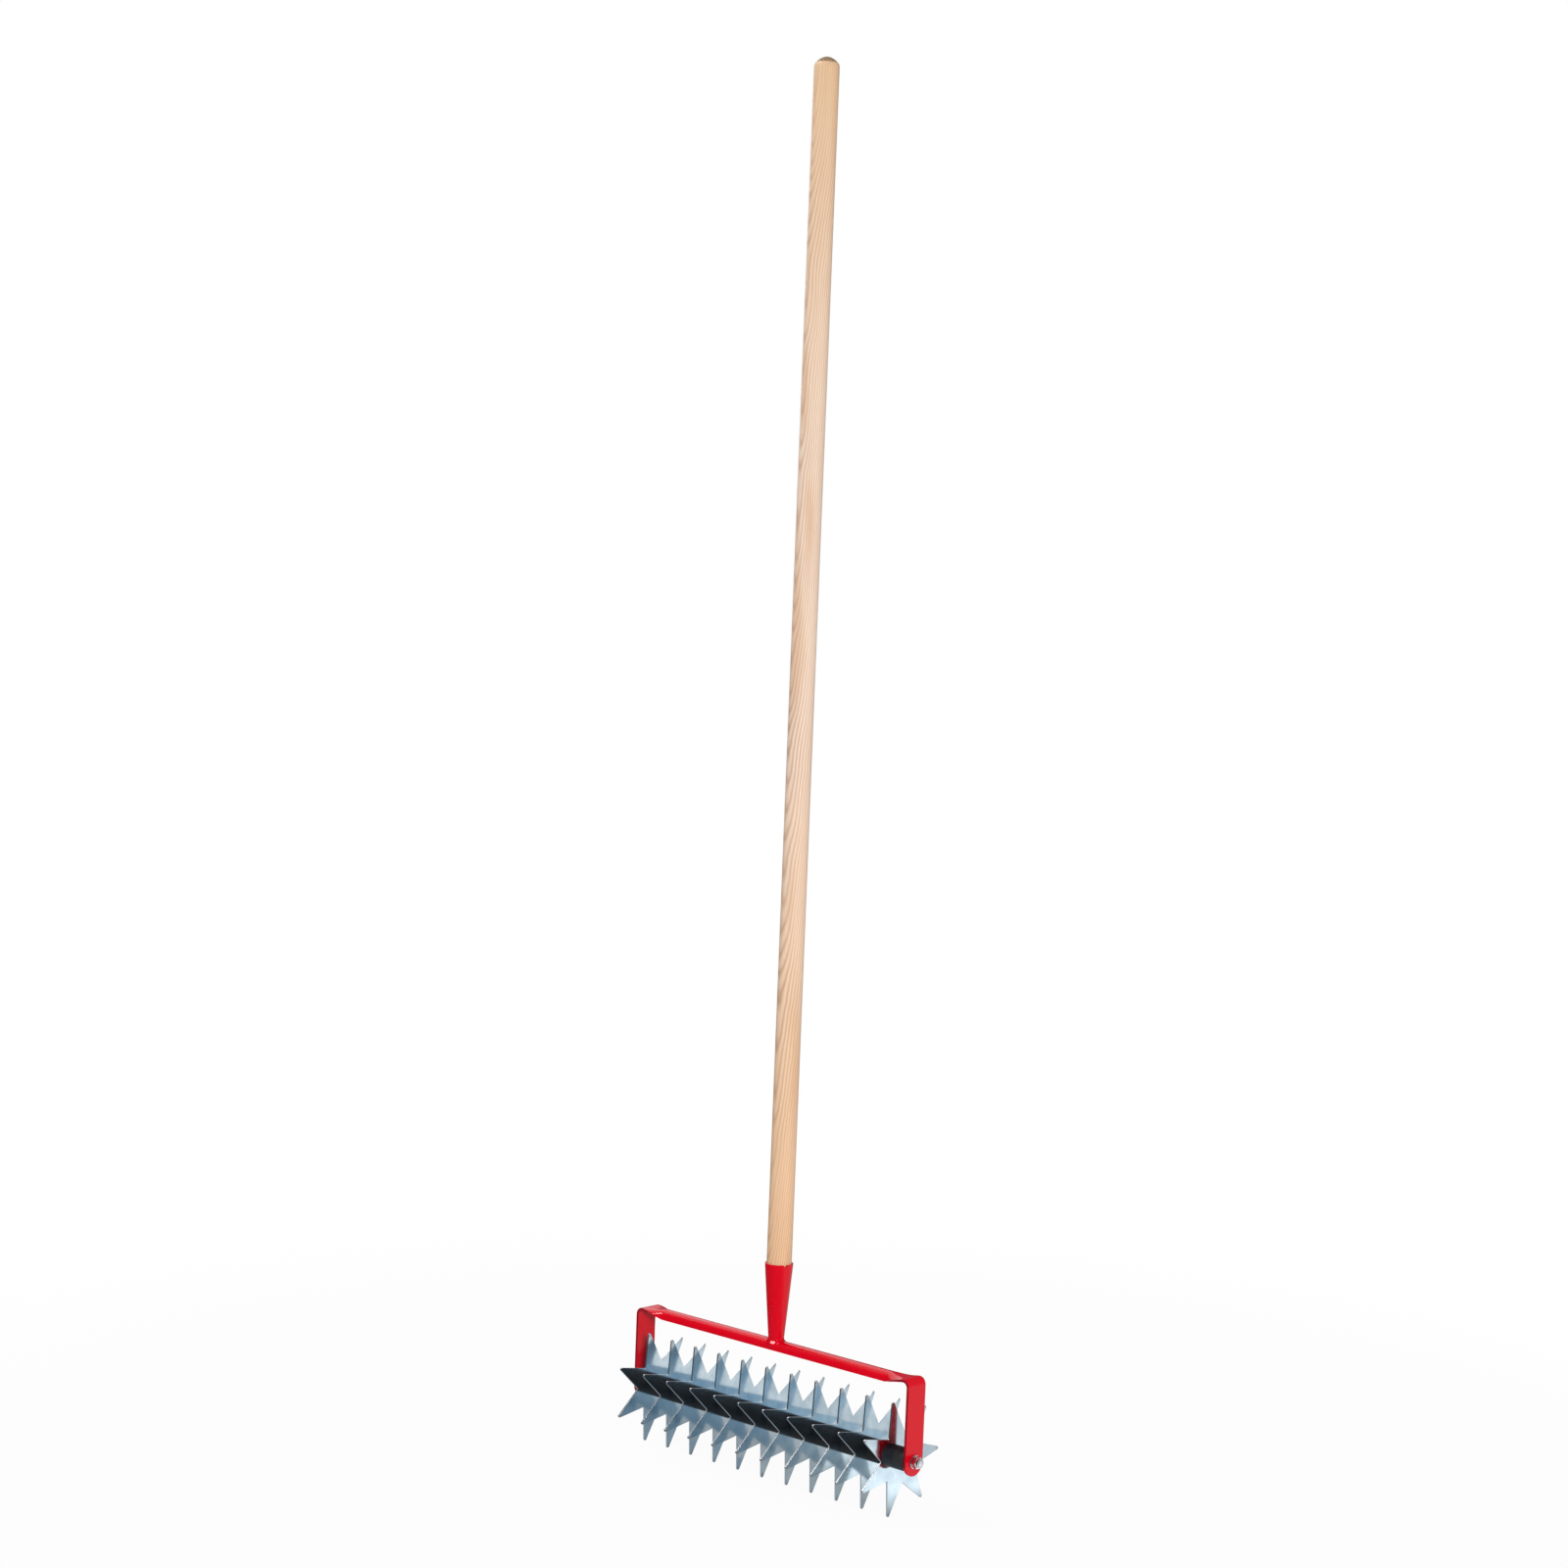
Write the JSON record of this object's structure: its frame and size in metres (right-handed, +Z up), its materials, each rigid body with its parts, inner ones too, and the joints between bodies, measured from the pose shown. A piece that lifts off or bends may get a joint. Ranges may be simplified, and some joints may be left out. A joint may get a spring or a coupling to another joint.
{
  "type": "rotary cultivator",
  "caption": "Long-handled garden cultivator whose roller of toothed star discs turns freely in a U-shaped yoke to break up crusted soil.",
  "frame": {"origin": "on the ground under the middle of the roller's axis, with the handle upright", "axes": "+X along the roller to the user's right, +Y away from the user, +Z up along the handle"},
  "size_m": [0.4672, 0.1312, 1.6755],
  "materials": {
    "ash_wood": "turned and sanded, clear",
    "red_enamel": "gloss red enamel",
    "zinc_sheet": "bright blue zinc plate",
    "zinc_fastener": "bright zinc plate",
    "bare_steel": "bare drawn tube",
    "black_tube": "satin black extrusion",
    "nylon": "moulded, matt black"
  },
  "bodies": {
    "frame": {"handle": "ash_wood", "handle_screw": "red_enamel", "socket": "red_enamel", "socket_weld": "red_enamel", "yoke": "red_enamel", "axle_rod": "zinc_fastener", "nut_left": "zinc_fastener", "nut_right": "zinc_fastener", "outer_washer_left": "zinc_fastener", "outer_washer_right": "zinc_fastener", "inner_washer_left": "zinc_fastener", "inner_washer_right": "zinc_fastener"},
    "roller": {"star_disc_01": "zinc_sheet", "star_disc_02": "zinc_sheet", "star_disc_03": "zinc_sheet", "star_disc_04": "zinc_sheet", "star_disc_05": "zinc_sheet", "star_disc_06": "zinc_sheet", "star_disc_07": "zinc_sheet", "star_disc_08": "zinc_sheet", "star_disc_09": "zinc_sheet", "star_disc_10": "zinc_sheet", "star_disc_11": "zinc_sheet", "spacer_01": "black_tube", "spacer_02": "black_tube", "spacer_03": "black_tube", "spacer_04": "black_tube", "spacer_05": "black_tube", "spacer_06": "black_tube", "spacer_07": "black_tube", "spacer_08": "black_tube", "spacer_09": "black_tube", "spacer_10": "black_tube", "spacer_end_left": "black_tube", "spacer_end_right": "black_tube", "core_tube": "bare_steel", "end_bush_left": "nylon", "end_bush_right": "nylon"}
  },
  "joints": [
    {"name": "roller_spin", "type": "hinge", "parent": "frame", "child": "roller", "pos_m": [0, 0, 0.06691], "axis": [1, 0, 0], "continuous": true}
  ]
}
